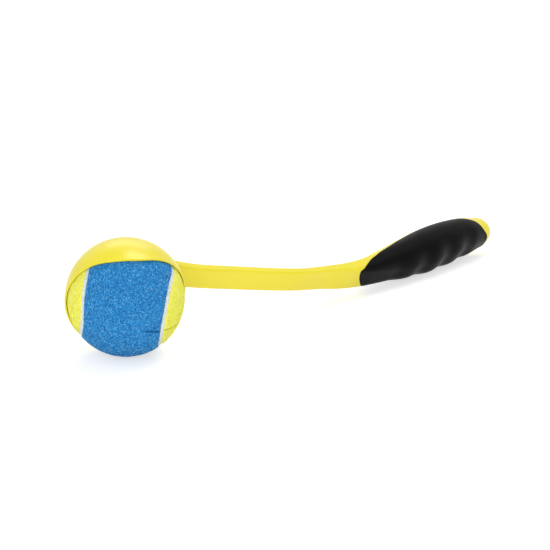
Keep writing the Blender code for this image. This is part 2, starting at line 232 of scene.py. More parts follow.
world = bpy.data.worlds.new("white_room")
bpy.context.scene.world = world
world.use_nodes = True
tree = world.node_tree
tree.nodes.clear()
direction = add_node(tree, "ShaderNodeTexCoord").outputs["Generated"]
sideways = add_node(tree, "ShaderNodeVectorMath", {0: direction, 1: right},
                    operation="DOT_PRODUCT").outputs["Value"]
room_light = between(tree, sideways, -1, 1, LIGHT_FROM_LEFT, LIGHT_FROM_RIGHT)
strength = add_node(tree, "ShaderNodeMix", {0: seen_directly(tree), 2: room_light, 3: 1.0}).outputs[0]
background = add_node(tree, "ShaderNodeBackground", {"Color": WHITE, "Strength": strength})
add_node(tree, "ShaderNodeOutputWorld", {"Surface": background.outputs[0]})

LAMPS = (("overhead_strip", (0.39, -0.05, 1.21), 0.9, 0.2, 5.0),
         ("right_strip", (0.98, -0.13, 1.0), 0.45, 0.2, 0.2),
         ("back_strip", (0.2, 0.35, 0.48), 0.45, 0.25, 0.6),
         ("front_softbox", (-1.25, -1.05, 0.45), 1.0, 0.8, 9.6))
for name, place, width, height, power in LAMPS:
    away = (Vector(place) - ball_centre).normalized()
    long_side = (right - away * right.dot(away)).normalized()
    turn = Matrix((long_side, away.cross(long_side), away)).transposed().to_euler()
    bpy.ops.object.light_add(type="AREA", location=place, rotation=turn)
    lamp = bpy.context.object
    lamp.name = name
    lamp.data.shape = "RECTANGLE"
    lamp.data.size = width
    lamp.data.size_y = height
    lamp.data.energy = power
bpy.context.scene.view_settings.view_transform = "Standard"
print(len(LAMPS), "lamps")

# %% [markdown]
# ## Helpers for modelling
#
# Nearly all pieces are made with Blender's own operators. An operator acts on whatever is selected, so each
# helper first selects exactly what it needs. The last one lays a finished piece on the floor and moves its
# place into its mesh, so that its object stays at the origin.

# %% Helpers for modelling
MERGE_DISTANCE = 0.00001


def work_on(piece):
    """Select one piece alone and make it the one that operators act on."""
    bpy.ops.object.select_all(action="DESELECT")
    piece.select_set(True)
    bpy.context.view_layer.objects.active = piece


def named(name):
    """Name the piece that an operator has just made."""
    piece = bpy.context.object
    piece.name = name
    piece.data.name = name
    return piece


def choose(piece, kind, test):
    """In edit mode, select the VERT, EDGE or FACE items that pass a test, and no others."""
    bpy.ops.mesh.select_mode(type=kind)
    bpy.ops.mesh.select_all(action="DESELECT")
    shape = bmesh.from_edit_mesh(piece.data)
    for item in {"VERT": shape.verts, "EDGE": shape.edges, "FACE": shape.faces}[kind]:
        if test(item):
            item.select_set(True)
    shape.select_flush_mode()
    bmesh.update_edit_mesh(piece.data)


def apply_modifier(piece, kind, **values):
    """Add a modifier with its settings, and apply it."""
    work_on(piece)
    step = piece.modifiers.new(kind.lower(), kind)
    for key, value in values.items():
        setattr(step, key, value)
    bpy.ops.object.modifier_apply(modifier=step.name)


def carve(piece, tool, operation):
    """Cut with a tool, or join it on, and throw the tool away."""
    apply_modifier(piece, "BOOLEAN", operation=operation, object=tool, solver="EXACT")
    bpy.data.objects.remove(tool, do_unlink=True)


def smooth_shade(piece, degrees):
    """Shade a piece smoothly, apart from edges that turn by more than an angle."""
    work_on(piece)
    bpy.ops.object.shade_smooth_by_angle(angle=math.radians(degrees))


def lay_down(piece, axes, finish):
    """Give a piece its finish and take it from its own axes to its place on the floor."""
    piece.data.materials.clear()
    piece.data.materials.append(finish)
    piece.matrix_world = axes
    work_on(piece)
    bpy.ops.object.transform_apply(location=True, rotation=True, scale=True)
    print(piece.name, len(piece.data.polygons), "faces")


print("points nearer than", MERGE_DISTANCE, "m are merged")

# %% [markdown]
# ## The arm and the handle
#
# The arm is a flat bar about 16 by 4.6 mm that swells into a round handle. Its shape is given by tables, as
# on a maker's drawing: the middle line, the width, the depth and the corners at a few stations. A smooth
# curve is read between them, so a few numbers give a long fair shape.

# %% Sizes of the thrower
REACH = 0.319
ARM_BOW = 0.0118
ARM_WIDTH = 0.0158
ARM_THICKNESS = 0.0046
ROOT_DEPTH = 0.0018
HANDLE_WIDTH = 0.0282
HANDLE_DEPTH = 0.0265
CUP_INSIDE = BALL_RADIUS + 0.00035
CUP_WALL = 0.0011
CUP_OUTSIDE = CUP_INSIDE + CUP_WALL
END_SHARE = 0.955
STATIONS = (0.05, 0.107, 0.169, 0.25, 0.39, 0.47, 0.527, 0.577, 0.633, 0.699, 0.771, 0.84, 0.909, 0.96)
BOW = (-1.8, -1.25, -0.63, -0.1, 0.7, 0.925, 1.055, 1.03, 0.87, 0.69, 0.43, 0.17, -0.04, -0.165)
WIDTHS = (0, 0, 0, 0, 0, 0.09, 0.17, 0.23, 0.4, 0.71, 0.97, 1.0, 0.82, 0.34)
DEPTHS = (0, 0, 0, 0, 0, 0.03, 0.155, 0.31, 0.52, 0.8, 0.98, 0.97, 0.83, 0.66)
CORNERS = (0.55, 0.55, 0.55, 0.55, 0.55, 0.55, 0.62, 0.72, 0.84, 0.93, 0.96, 0.96, 0.96, 0.96)


def smooth(table, at):
    """Read a smooth curve through the points (place, value) of a table."""
    last = len(table) - 1
    k = 0
    while k < last - 1 and at > table[k + 1][0]:
        k += 1
    (x0, v0), (x1, v1) = table[k], table[k + 1]

    def slope(i):
        low, high = max(i - 1, 0), min(i + 1, last)
        return (table[high][1] - table[low][1]) / (table[high][0] - table[low][0])

    u = (at - x0) / (x1 - x0)
    bend = u * (1 - u) * (x1 - x0)
    return v0 + (v1 - v0) * u * u * (3 - 2 * u) + bend * (slope(k) * (1 - u) - slope(k + 1) * u)


def along(shares, low, high):
    """A table over the stations of a size that goes from low to high by shares."""
    return [(REACH * place, low + (high - low) * share) for place, share in zip(STATIONS, shares)]


MIDDLE = along(BOW, 0, ARM_BOW)
WIDTH = along(WIDTHS, ARM_WIDTH, HANDLE_WIDTH)
DEPTH = along(DEPTHS, ARM_THICKNESS, HANDLE_DEPTH)
CORNER = along(CORNERS, 0, 1)
print("arm and handle reach", REACH, "m from the ball's centre")

# %% [markdown]
# ## Finger grooves and the arm's root
#
# Four fingers close round the front of the handle, so the grip has four soft grooves there, each a wave of
# one finger's width. The arm's back swells a little just before the cup, which stiffens the real one where
# it would snap. Both are functions of the place along the bar, and the sections below use them.

# %% Grooves and root
GROOVE_DEPTH = 0.0015
GROOVE_WIDTH = 0.0225
GROOVE_PITCH = 0.024
LAST_GROOVE = 0.0375
GROOVES = (0.95, 1.0, 0.9, 0.35)
SWELL_START = CUP_OUTSIDE * 1.4
SWELL_END = CUP_OUTSIDE * 0.5


def groove(x):
    """How deep the finger grooves are at a place along the handle."""
    deep = 0
    for k, share in enumerate(GROOVES):
        off = abs(x - (REACH - LAST_GROOVE - k * GROOVE_PITCH)) / (GROOVE_WIDTH / 2)
        if off < 1:
            deep += GROOVE_DEPTH * share * (math.cos(math.pi * off) + 1) / 2
    return deep


def root_swell(x):
    """How far the arm's back swells where it runs into the cup."""
    return ROOT_DEPTH * min(max((SWELL_START - x) / (SWELL_START - SWELL_END), 0), 1) ** 2


print("deepest groove", round(max(groove(REACH * k / 1000) for k in range(1000)) / MM, 2), "mm")

# %% [markdown]
# ## Sections of the bar
#
# Each section is a rectangle with round corners, square to the bar's middle line. Its points lie closer
# together where it turns, so round corners stay smooth and flat faces cost little. At the front the grooves
# press it in, and at the back the root swells it out.

# %% Sections
BAR_SIDES = 72
CORNER_STEPS = 24
LEAN_STEP = 0.004


def outline(half_width, half_depth, radius):
    """Points round a rectangle with round corners, closer together where it turns."""
    points, turns = [(half_width, 0)], [0]
    for corner, (side, face) in enumerate(((1, 1), (-1, 1), (-1, -1), (1, -1))):
        for k in range(CORNER_STEPS + 1):
            angle = math.pi / 2 * (corner + k / CORNER_STEPS)
            points.append((side * (half_width - radius) + radius * math.cos(angle),
                           face * (half_depth - radius) + radius * math.sin(angle)))
            turns.append(angle)
    points = np.array(points + [(half_width, 0)])
    turns = np.array(turns + [2 * math.pi])
    length = np.concatenate([[0], np.cumsum(np.hypot(*np.diff(points, axis=0).T))])
    measure = length / length[-1] + turns / turns[-1]
    at = np.arange(BAR_SIDES) / BAR_SIDES * measure[-1]
    return np.stack([np.interp(at, measure, points[:, 0]), np.interp(at, measure, points[:, 1])], axis=1)


def section(x, inset=0.0, back_inset=0.0, grooved=False):
    """The ring of the bar at a place along it, square to its middle line."""
    end = REACH * END_SHARE
    place = min(x, end)
    size = math.sqrt(max(1 - (max(x - end, 0) / (REACH - end)) ** 2, 0))
    half_width = size * smooth(WIDTH, place) / 2 - inset
    half_depth = size * smooth(DEPTH, place) / 2
    radius = smooth(CORNER, place) * min(half_width, half_depth)
    lean = math.atan2(smooth(MIDDLE, x + LEAN_STEP) - smooth(MIDDLE, x - LEAN_STEP), 2 * LEAN_STEP)
    across, out = outline(half_width, half_depth, radius).T
    front = out > 0
    share = np.abs(out) / half_depth
    out = np.where(front, out * (half_depth - inset) / half_depth,
                   out * (half_depth - back_inset) / half_depth)
    if grooved:
        pressed = np.where(front, groove(x) * share ** 2, 0)
        hollow = pressed / np.maximum(np.hypot(across, out), MM)
        across, out = across * (1 - hollow), out * (1 - hollow)
    out = np.where(front, out, out - root_swell(x) * share)
    return np.stack([x - out * math.sin(lean), across, smooth(MIDDLE, x) + out * math.cos(lean)], axis=1)


print("section at the middle of the arm:", np.round(np.ptp(section(REACH * 0.4), axis=0) / MM, 1), "mm")

# %% [markdown]
# ## A bar from a cylinder
#
# A cylinder has the right rings and sides but one straight form. Its long edges are subdivided into as many
# rings as the bar needs, and each ring is pulled onto its section. The handle, the grip and the handle's
# core are all such bars. Rings that close in on the tip make a round end.

# %% Bar
BAR_CUTS = (15, 14)
BAR_TIP = 18
SAME_HEIGHT = 1e-6


def bar(name, stations, cuts, **options):
    """A cylinder whose rings are pulled onto the sections at the stations."""
    bpy.ops.object.select_all(action="DESELECT")
    bpy.ops.mesh.primitive_cylinder_add(vertices=BAR_SIDES, radius=1, depth=2, end_fill_type="TRIFAN")
    piece = named(name)
    bpy.ops.object.mode_set(mode="EDIT")
    for cut in cuts:
        choose(piece, "EDGE", lambda edge: abs(edge.verts[0].co.z - edge.verts[1].co.z) > SAME_HEIGHT)
        bpy.ops.mesh.subdivide(number_cuts=cut)
    bpy.ops.object.mode_set(mode="OBJECT")
    rings = [section(x, **options) for x in stations]
    for point in piece.data.vertices:
        k = round((point.co.z + 1) / 2 * (len(stations) - 1))
        if math.hypot(point.co.x, point.co.y) < 0.5:
            point.co = rings[k].mean(axis=0)
        else:
            j = round(math.atan2(point.co.y, point.co.x) / (2 * math.pi) * BAR_SIDES) % BAR_SIDES
            point.co = rings[k][j]
    return piece


def places(start, end, count, round_end=0):
    """Places from start to end, and a few more that close in on the tip of the handle."""
    turns = [math.pi / 2 * (k + 1) / (round_end + 0.5) for k in range(round_end)]
    tip = [end + (REACH - end) * math.sin(turn) for turn in turns]
    return [start + (end - start) * k / (count - 1) for k in range(count)] + tip


def ring_count(cuts):
    """How many rings a cylinder has after its long edges are cut."""
    return math.prod(cut + 1 for cut in cuts) + 1


handle_end = REACH * END_SHARE
bar_places = places(SWELL_END, handle_end, ring_count(BAR_CUTS) - BAR_TIP, BAR_TIP)
moulding = bar("thrower_moulding", bar_places, BAR_CUTS)
print("bar of", ring_count(BAR_CUTS), "rings and", BAR_SIDES, "sides")

# %% [markdown]
# ## The place for the grip
#
# The soft grip fills the front and the sides of the handle. The line between them sweeps up from the front
# of the arm, along the back of the handle and down again before its end. Its ball end is slanted across the
# arm and bows a little. A grid is bent onto that line and extruded forwards, which makes a tool that is all
# the room the grip may fill. The same tool carves the handle and trims the grip, so the two meet all along.

# %% Tool for the grip's room
GRIP_EDGE = ((0.5535, 0.36, 0.8), (0.5535, 0.19, 0.8), (0.562, 0.13, 0.5), (0.574, 0.02, 0.25),
             (0.586, -0.058, 0.1), (0.602, -0.112, 0), (0.618, -0.16, 0), (0.664, -0.262, 0),
             (0.703, -0.348, 0), (0.76, -0.41, 0), (0.85, -0.43, 0), (0.89, -0.36, 0), (0.906, -0.26, 0),
             (0.922, -0.15, 0), (0.937, -0.04, 0), (0.9455, 0.1, 0), (0.952, 0.2, 0), (0.961, 0.29, 0),
             (0.968, 0.4, 0), (0.97, 0.62, 0))
EDGE_BOW = 0.0018
EDGE_STEPS = 6
ROOM_COLUMNS = 24
ROOM_FRONT = HANDLE_DEPTH + ARM_BOW
ROOM_SPARE = 4 * MM


def grip_line():
    """Points (along, out, slant) of the line between the grip and the moulding, seen from the side."""
    points = []
    for place, out, slant in GRIP_EDGE:
        x = REACH * place
        points.append(Vector((x, smooth(MIDDLE, x) + HANDLE_DEPTH * out, slant)))
    fine = []
    last = len(points) - 1
    for k in range(last):
        before, start, finish, after = [points[min(max(k + i, 0), last)] for i in (-1, 0, 1, 2)]
        square = 2 * before - 5 * start + 4 * finish - after
        cube = 3 * start - before - 3 * finish + after
        for step in range(EDGE_STEPS):
            u = step / EDGE_STEPS
            fine.append(0.5 * (2 * start + (finish - before) * u + square * u * u + cube * u * u * u))
    return fine + [points[-1]]


def grip_room(gap):
    """All that the grip may fill; gap moves its skin that far into the moulding."""
    line = grip_line()
    bpy.ops.object.select_all(action="DESELECT")
    bpy.ops.mesh.primitive_grid_add(x_subdivisions=len(line) - 1, y_subdivisions=ROOM_COLUMNS, size=2)
    tool = named("grip_room")
    half_width = HANDLE_WIDTH / 2 + ROOM_SPARE
    for point in tool.data.vertices:
        x, z, slant = line[round((point.co.x + 1) / 2 * (len(line) - 1))]
        y = point.co.y * half_width
        bow = EDGE_BOW * (1 - (y / (ARM_WIDTH / 2)) ** 2)
        point.co = (x - slant * (y + bow), y, z)
    bpy.ops.object.mode_set(mode="EDIT")
    bpy.ops.mesh.select_all(action="SELECT")
    bpy.ops.mesh.normals_make_consistent(inside=False)
    bpy.ops.mesh.extrude_region_move(TRANSFORM_OT_translate={"value": (0, 0, ROOM_FRONT)})
    bpy.ops.object.mode_set(mode="OBJECT")
    for point in tool.data.vertices:
        if point.select:
            point.co.z = ROOM_FRONT
    bpy.ops.object.mode_set(mode="EDIT")
    bpy.ops.mesh.select_all(action="SELECT")
    bpy.ops.mesh.normals_make_consistent(inside=False)
    if gap:
        choose(tool, "VERT", lambda vert: vert.co.z < ROOM_FRONT - MM)
        bpy.ops.transform.shrink_fatten(value=gap)
    bpy.ops.object.mode_set(mode="OBJECT")
    return tool


print("the grip's edge has", len(grip_line()), "points")

# %% [markdown]
# ## The handle inside the grip
#
# Under the soft grip the moulding goes on as a stiff core, so the grip is a skin that can't turn or slide
# off. The grip's room is cut out of the handle first, and then the core, a slimmer bar, is joined on. The
# grip itself is trimmed by the same two tools later, with a hair's gap between the two.

# %% Handle's core
GRIP_GAP = 0.00005
GRIP_SKIN = 0.0038
BACK_SKIN = 0.0009
CORE_START = 0.6
CORE_END = 0.93
CORE_CUTS = (9, 5)


def handle_core(gap):
    """The stiff core inside the grip, or the room for it."""
    stations = places(REACH * CORE_START - gap, REACH * CORE_END + gap, ring_count(CORE_CUTS))
    return bar("handle_core", stations, CORE_CUTS, inset=GRIP_SKIN - gap, back_inset=BACK_SKIN - gap)


carve(moulding, grip_room(GRIP_GAP), "DIFFERENCE")
carve(moulding, handle_core(0), "UNION")
print("handle carved for the grip:", len(moulding.data.polygons), "faces")

# %% [markdown]
# ## The cup
#
# The cup is a shell about 1.1 mm thick, about half of a hollow ball. Its mouth isn't flat: seen from the side
# its edge is a soft wave. A flat cut would lose that wave, so for each meridian of the cup the angle at which
# it meets the edge is found by halving a span again and again.

# %% Shape of the cup's mouth
MOUTH_SEARCH = (math.radians(50), math.radians(130))
SEARCH_STEPS = 30
MOUTH = ((-1.3, -0.72), (-0.87, -0.46), (-0.58, -0.167), (-0.25, 0.026), (0.12, 0.108), (0.45, 0.18),
         (0.75, 0.29), (1.3, 0.53))
mouth_line = [(CUP_OUTSIDE * x, CUP_OUTSIDE * z) for x, z in MOUTH]
to_cup = Matrix.Rotation(-MOUTH_LEAN, 3, "Y")


def cup_point(turn, angle):
    """A point of the cup's outside, at an angle from the middle of its back."""
    flat = CUP_OUTSIDE * math.sin(angle)
    return to_cup @ Vector((flat * math.cos(turn), flat * math.sin(turn), -CUP_OUTSIDE * math.cos(angle)))


def mouth_angle(turn):
    """How far round from the back the mouth's edge is on one meridian."""
    low, high = MOUTH_SEARCH
    for _ in range(SEARCH_STEPS):
        angle = (low + high) / 2
        point = cup_point(turn, angle)
        if point.z < smooth(mouth_line, point.x):
            low = angle
        else:
            high = angle
    return low


print("the mouth's edge is", [round(math.degrees(mouth_angle(math.radians(a)))) for a in (0, 90, 180)],
      "degrees from the back, at the arm, the side and the tip")

# %% [markdown]
# ## The cup's shell
#
# It is made from the back half of a ball whose rings lie square to the opening. Each meridian is shrunk or
# stretched until it ends at the mouth's edge, so the rings follow that edge, and the lip flares a little.
# Solidify gives the wall, and a bevel rounds the rim.

# %% Dome of the cup
CUP_SEGMENTS = 160
CUP_RINGS = 96
RIM_ROUND = 0.00038
RIM_STEPS = 4
RIM_ANGLE = math.radians(50)
LIP_FLARE = 0.0002
LIP_START = 0.93

bpy.ops.object.select_all(action="DESELECT")
bpy.ops.mesh.primitive_uv_sphere_add(segments=CUP_SEGMENTS, ring_count=CUP_RINGS, radius=CUP_OUTSIDE)
cup = named("cup")
bpy.ops.object.mode_set(mode="EDIT")
choose(cup, "VERT", lambda vert: vert.co.z > MM / 10)
bpy.ops.mesh.delete(type="VERT")
bpy.ops.object.mode_set(mode="OBJECT")
edge_angles = {}
for point in cup.data.vertices:
    turn = math.atan2(point.co.y, point.co.x)
    key = round(turn, 4)
    if key not in edge_angles:
        edge_angles[key] = mouth_angle(turn)
    angle = math.atan2(math.hypot(point.co.x, point.co.y), -point.co.z)
    share = angle / (math.pi / 2)
    flare = LIP_FLARE * max((share - LIP_START) / (1 - LIP_START), 0) ** 2
    point.co = cup_point(turn, share * edge_angles[key]) * (1 + flare / CUP_OUTSIDE)
apply_modifier(cup, "SOLIDIFY", thickness=CUP_WALL, offset=-1, use_even_offset=True)
bpy.ops.object.mode_set(mode="EDIT")
bpy.ops.mesh.select_mode(type="EDGE")
bpy.ops.mesh.select_all(action="DESELECT")
bpy.ops.mesh.edges_select_sharp(sharpness=RIM_ANGLE)
bpy.ops.mesh.bevel(offset=RIM_ROUND, segments=RIM_STEPS, profile=0.5)
bpy.ops.object.mode_set(mode="OBJECT")
print("cup of", len(cup.data.polygons), "faces")

# %% [markdown]
# ## Arm and cup become one moulding
#
# The arm's root is trimmed inside the cup's wall, and the two are joined. A moulding has no sharp inner
# corner there: each point near the joint is pushed out by how near it is to the other surface, which leaves
# a soft fillet.

# %% Join the cup and round the joint
FILLET = 0.0015
FILLET_START = FILLET / 4
FILLET_FULLNESS = 0.9
ON_THE_ARM = 1e-5

bpy.ops.object.select_all(action="DESELECT")
bpy.ops.mesh.primitive_uv_sphere_add(segments=96, ring_count=48, radius=CUP_INSIDE + CUP_WALL / 2)
inner_ball = named("inner_ball")
arm_only = bmesh.new()
arm_only.from_mesh(moulding.data)
arm_only.normal_update()
arm_tree = BVHTree.FromBMesh(arm_only)
carve(moulding, inner_ball, "DIFFERENCE")
carve(moulding, cup, "UNION")

moved = 0
for point in moulding.data.vertices:
    from_cup = point.co.length - CUP_OUTSIDE
    if from_cup < -MM / 10 or from_cup > FILLET:
        continue
    place, face_normal, _, from_arm = arm_tree.find_nearest(point.co)
    if from_arm > FILLET:
        continue
    arm_out = (point.co - place).normalized() if from_arm > ON_THE_ARM else face_normal
    cup_out = point.co.normalized()
    gap = max(from_cup, 0)
    if from_arm > gap:
        gap = from_arm
        first, second = cup_out, arm_out
    else:
        first, second = arm_out, cup_out
    slid = FILLET_START * (1 - gap / FILLET)
    far = FILLET_START + gap * 3 / 4
    low_side = FILLET + far - math.sqrt(max((FILLET + far) ** 2 - (FILLET - far) ** 2, 0))
    point.co += first * low_side * FILLET_FULLNESS + second * slid
    moved += 1
print("moulding joined:", len(moulding.data.polygons), "faces,", moved, "points in the fillet")

# %% [markdown]
# ## The yellow plastic
#
# The moulding is glossy-satin polypropylene in a lemon yellow. It isn't perfectly even: the colour drifts a
# little along the flow of the plastic, and the surface has a very faint orange peel, which breaks up its
# gloss. The roughness itself is even, as a polished mould leaves it.

# %% Yellow plastic
yellow_plastic, tree, shader = new_finish("lemon_yellow_plastic")
drift = grain(tree, 22, detail=3, stretch=(0.4, 1, 1))
colour = tint(tree, between(tree, drift, 0.35, 0.65, 0, 1), (0.845, 0.72, 0.013), (0.868, 0.748, 0.019))
tree.links.new(colour, shader.inputs["Base Color"])
shader.inputs["Roughness"].default_value = 0.3
shader.inputs["IOR"].default_value = 1.49
peel = relief(tree, shader, grain(tree, 2.2, detail=1), 0.004)
relief(tree, shader, grain(tree, 0.35, detail=2), 0.0015, before=peel)

work_on(moulding)
bpy.ops.object.mode_set(mode="EDIT")
bpy.ops.mesh.select_all(action="SELECT")
bpy.ops.mesh.remove_doubles(threshold=MERGE_DISTANCE)
bpy.ops.object.mode_set(mode="OBJECT")
smooth_shade(moulding, 35)
lay_down(moulding, THROWER_AXES, yellow_plastic)
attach(moulding, "thrower")
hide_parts("thrower_frame")

# %% [markdown]
# ## The grip
#
# The grip is soft black rubber with four finger grooves in its front. It is the same bar with the grooves
# pressed in, trimmed by the tool for its room, with the handle's core taken out. Its rubber is matt: it
# hardly mirrors anything, and a fine grain and an uneven roughness soften what it does.

# %% Grip
GRIP_CUTS = (11, 11)
GRIP_TIP = 18
GRIP_LEAD = 14 * MM
grip_start = REACH * GRIP_EDGE[1][0] - GRIP_LEAD
grip_places = places(grip_start, handle_end, ring_count(GRIP_CUTS) - GRIP_TIP, GRIP_TIP)
grip = bar("soft_grip", grip_places, GRIP_CUTS, grooved=True)
carve(grip, grip_room(0), "INTERSECT")
carve(grip, handle_core(GRIP_GAP), "DIFFERENCE")

black_rubber, tree, shader = new_finish("soft_black_rubber")
tree.links.new(tint(tree, grain(tree, 9, detail=3), (0.001, 0.001, 0.0015), (0.0018, 0.0018, 0.0024)),
               shader.inputs["Base Color"])
tree.links.new(between(tree, grain(tree, 5, detail=3), 0.3, 0.7, 0.33, 0.42), shader.inputs["Roughness"])
shader.inputs["Specular IOR Level"].default_value = 0.04
relief(tree, shader, grain(tree, 0.3, detail=2), 0.02)

smooth_shade(grip, 35)
lay_down(grip, THROWER_AXES, black_rubber)
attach(grip, "thrower")
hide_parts("handle_grip")

# %% [markdown]
# ## The ball's seam line
#
# A felt ball has two panels of the same shape, like two figures of eight that lock together. The line
# between them is one closed curve on the ball, written here as a few waves. On the real ball the line
# wanders a little, because the felt is glued on by hand, so a few gentle pulls move it sideways.

# %% Seam line
SEAM_WAVE = (0.2237, -0.0644, 0.8533, -0.0886)
SEAM_POINTS = 2048
# Each pull: the place on the ball (across, high), how far to the right, and how far round that it reaches,
# all as shares of the ball's radius
PULLS = ((-0.70, 0.0, -0.067, 0.42), (0.76, 0.51, 0.085, 0.30),
         (0.60, -0.60, 0.040, 0.35), (0.66, 0.0, 0.026, 0.40))
to_ball = BALL_AXES.to_3x3().inverted()


def seam_point(t):
    """A point of the plain seam curve, at a turn t from 0 to a full turn."""
    b, c, d, e = SEAM_WAVE
    return Vector((math.cos(t) + b * math.cos(3 * t) + c * math.cos(5 * t),
                   math.sin(t) - b * math.sin(3 * t) + c * math.sin(5 * t),
                   d * math.sin(2 * t) + e * math.sin(6 * t))).normalized()


def ball_point(across, high):
    """The place on the ball that the camera sees at shares of its radius right of and above its middle."""
    toward = math.sqrt(1 - across * across - high * high)
    return to_ball @ (right * across + up * high - forward * toward)


def pulled(point):
    """A point of the seam, moved by the pulls near it."""
    moved = point.copy()
    for across, high, amount, width in PULLS:
        near = math.exp(-((point - ball_point(across, high)).length / width) ** 2)
        moved += to_ball @ right * amount * near
    return moved.normalized()


seam = [pulled(seam_point(2 * math.pi * k / SEAM_POINTS)) for k in range(SEAM_POINTS)]
print("seam", round(sum((seam[k] - seam[k - 1]).length for k in range(SEAM_POINTS)) * BALL_RADIUS, 3),
      "m long")

# %% [markdown]
# ## Which side of the seam
#
# The felt and the rubber strip both need to know how far a place on the ball is from the seam, and on which
# side. The direction across the seam is worked out once at each of its points, and a tree of those points
# finds the nearest one quickly.

# %% Distance from the seam
seam_across = []
seam_tree = KDTree(SEAM_POINTS)
for k, point in enumerate(seam):
    run = seam[(k + 1) % SEAM_POINTS] - seam[k - 1]
    seam_across.append(point.cross(run).normalized())
    seam_tree.insert(point, k)
seam_tree.balance()


def from_seam(direction):
    """How far a direction is from the seam on the ball, and which way across it is."""
    _, k, _ = seam_tree.find(direction)
    return direction.dot(seam_across[k]) * BALL_RADIUS, seam_across[k]


blue_side = math.copysign(1, from_seam(Vector((0, 0, 1)))[0])
print("seam of", SEAM_POINTS, "points, blue on side", blue_side)

# %% [markdown]
# ## A crease in the felt
#
# Low on the ball's right the felt has a fine crease, where it was stretched over the core. It runs through
# three places that are given as the camera sees them. The shape of the felt follows its depth, and so does
# a painted shade that darkens the felt's colour along it.

# %% Crease
CREASE = ((0.4, -0.556), (0.627, -0.556), (0.9, -0.425))
CREASE_DEPTH = 0.0007
CREASE_WIDTH = 0.0005
# How dark the painted shade in the crease is, as a share of the felt's dark tone
CREASE_SHADE = 0.5
crease = [ball_point(*point) for point in CREASE]


def crease_depth(out):
    """How deep the crease in the felt is in a direction from the ball's centre."""
    nearest = 1
    for start, finish in zip(crease, crease[1:]):
        run = finish - start
        share = min(max((out - start).dot(run) / run.length_squared, 0), 1)
        nearest = min(nearest, (out - (start + run * share).normalized()).length)
    return CREASE_DEPTH * math.exp(-(nearest * BALL_RADIUS / CREASE_WIDTH) ** 2)


print("crease", round(crease_depth(crease[1]) / MM, 2), "mm deep in its middle")

# %% [markdown]
# ## The felt panels
#
# Each panel is woolly felt about 2 mm thick. It starts as an icosphere, which has no poles and even
# triangles. What lies beyond the seam is deleted, the edge is drawn onto the seam's side and rolled down, two
# displacements raise the nap, and Solidify gives the thickness.

# %% Felt panels
HALF_CHANNEL = 0.00118
FELT_THICKNESS = 0.0022
EDGE_ROLL = 0.0007
EDGE_WIDTH = 0.0016
BALL_SUBDIVISIONS = 7
BALL_EDGE = BALL_RADIUS * 1.1 / 2 ** (BALL_SUBDIVISIONS - 1)
NAP = (("nap_lumps", 0.004, 0.00022), ("nap_tufts", 0.0011, 0.00034))


def felt_panel(name, side):
    """One panel of felt, on one side of the seam."""
    bpy.ops.object.select_all(action="DESELECT")
    bpy.ops.mesh.primitive_ico_sphere_add(subdivisions=BALL_SUBDIVISIONS, radius=BALL_RADIUS)
    panel = named(name)
    away = [from_seam(point.co.normalized())[0] * side for point in panel.data.vertices]
    bpy.ops.object.mode_set(mode="EDIT")
    choose(panel, "VERT", lambda vert: away[vert.index] < HALF_CHANNEL - BALL_EDGE / 2)
    bpy.ops.mesh.delete(type="VERT")
    bpy.ops.mesh.select_all(action="DESELECT")
    bpy.ops.mesh.select_non_manifold()
    bpy.ops.object.mode_set(mode="OBJECT")
    # Each point keeps how deep the crease is there, which sets how much painted shade the felt's colour gets
    painted_shade_share = panel.data.attributes.new("crease", "FLOAT", "POINT")
    for point in panel.data.vertices:
        out = point.co.normalized()
        off, across = from_seam(out)
        off *= side
        if point.select:
            out = (out + across * side * (HALF_CHANNEL - off) / BALL_RADIUS).normalized()
            off = HALF_CHANNEL
        low = max(1 - (off - HALF_CHANNEL) / EDGE_WIDTH, 0)
        point.co = out * (BALL_RADIUS - EDGE_ROLL * low * low - crease_depth(out))
        painted_shade_share.data[point.index].value = crease_depth(out) / CREASE_DEPTH
    for label, size, height in NAP:
        pattern = bpy.data.textures.new(label, "CLOUDS")
        pattern.noise_scale = size
        pattern.noise_depth = 1
        apply_modifier(panel, "DISPLACE", texture=pattern, strength=height, mid_level=0.5)
    apply_modifier(panel, "SOLIDIFY", thickness=FELT_THICKNESS - EDGE_ROLL, offset=-1)
    return panel


panels = [felt_panel("felt_panel_blue", blue_side), felt_panel("felt_panel_yellow", -blue_side)]
print("felt panels of", [len(panel.data.polygons) for panel in panels], "faces")

# %% [markdown]
# ## The felt's finish
#
# Felt is a mat of short curled fibres. Three stretched noises, turned three ways, stand for fibres that lie
# three ways. Where one of them peaks the fibre is paler, and between them the felt is darker. A sheen gives
# the soft light edge that fuzz has, and a painted shade darkens the felt along the crease.

# %% Felt finish
STREAK_TURNS = ((0.3, 0.2, 0.5), (1.3, 0.4, 1.6), (0.5, 1.4, 2.7))


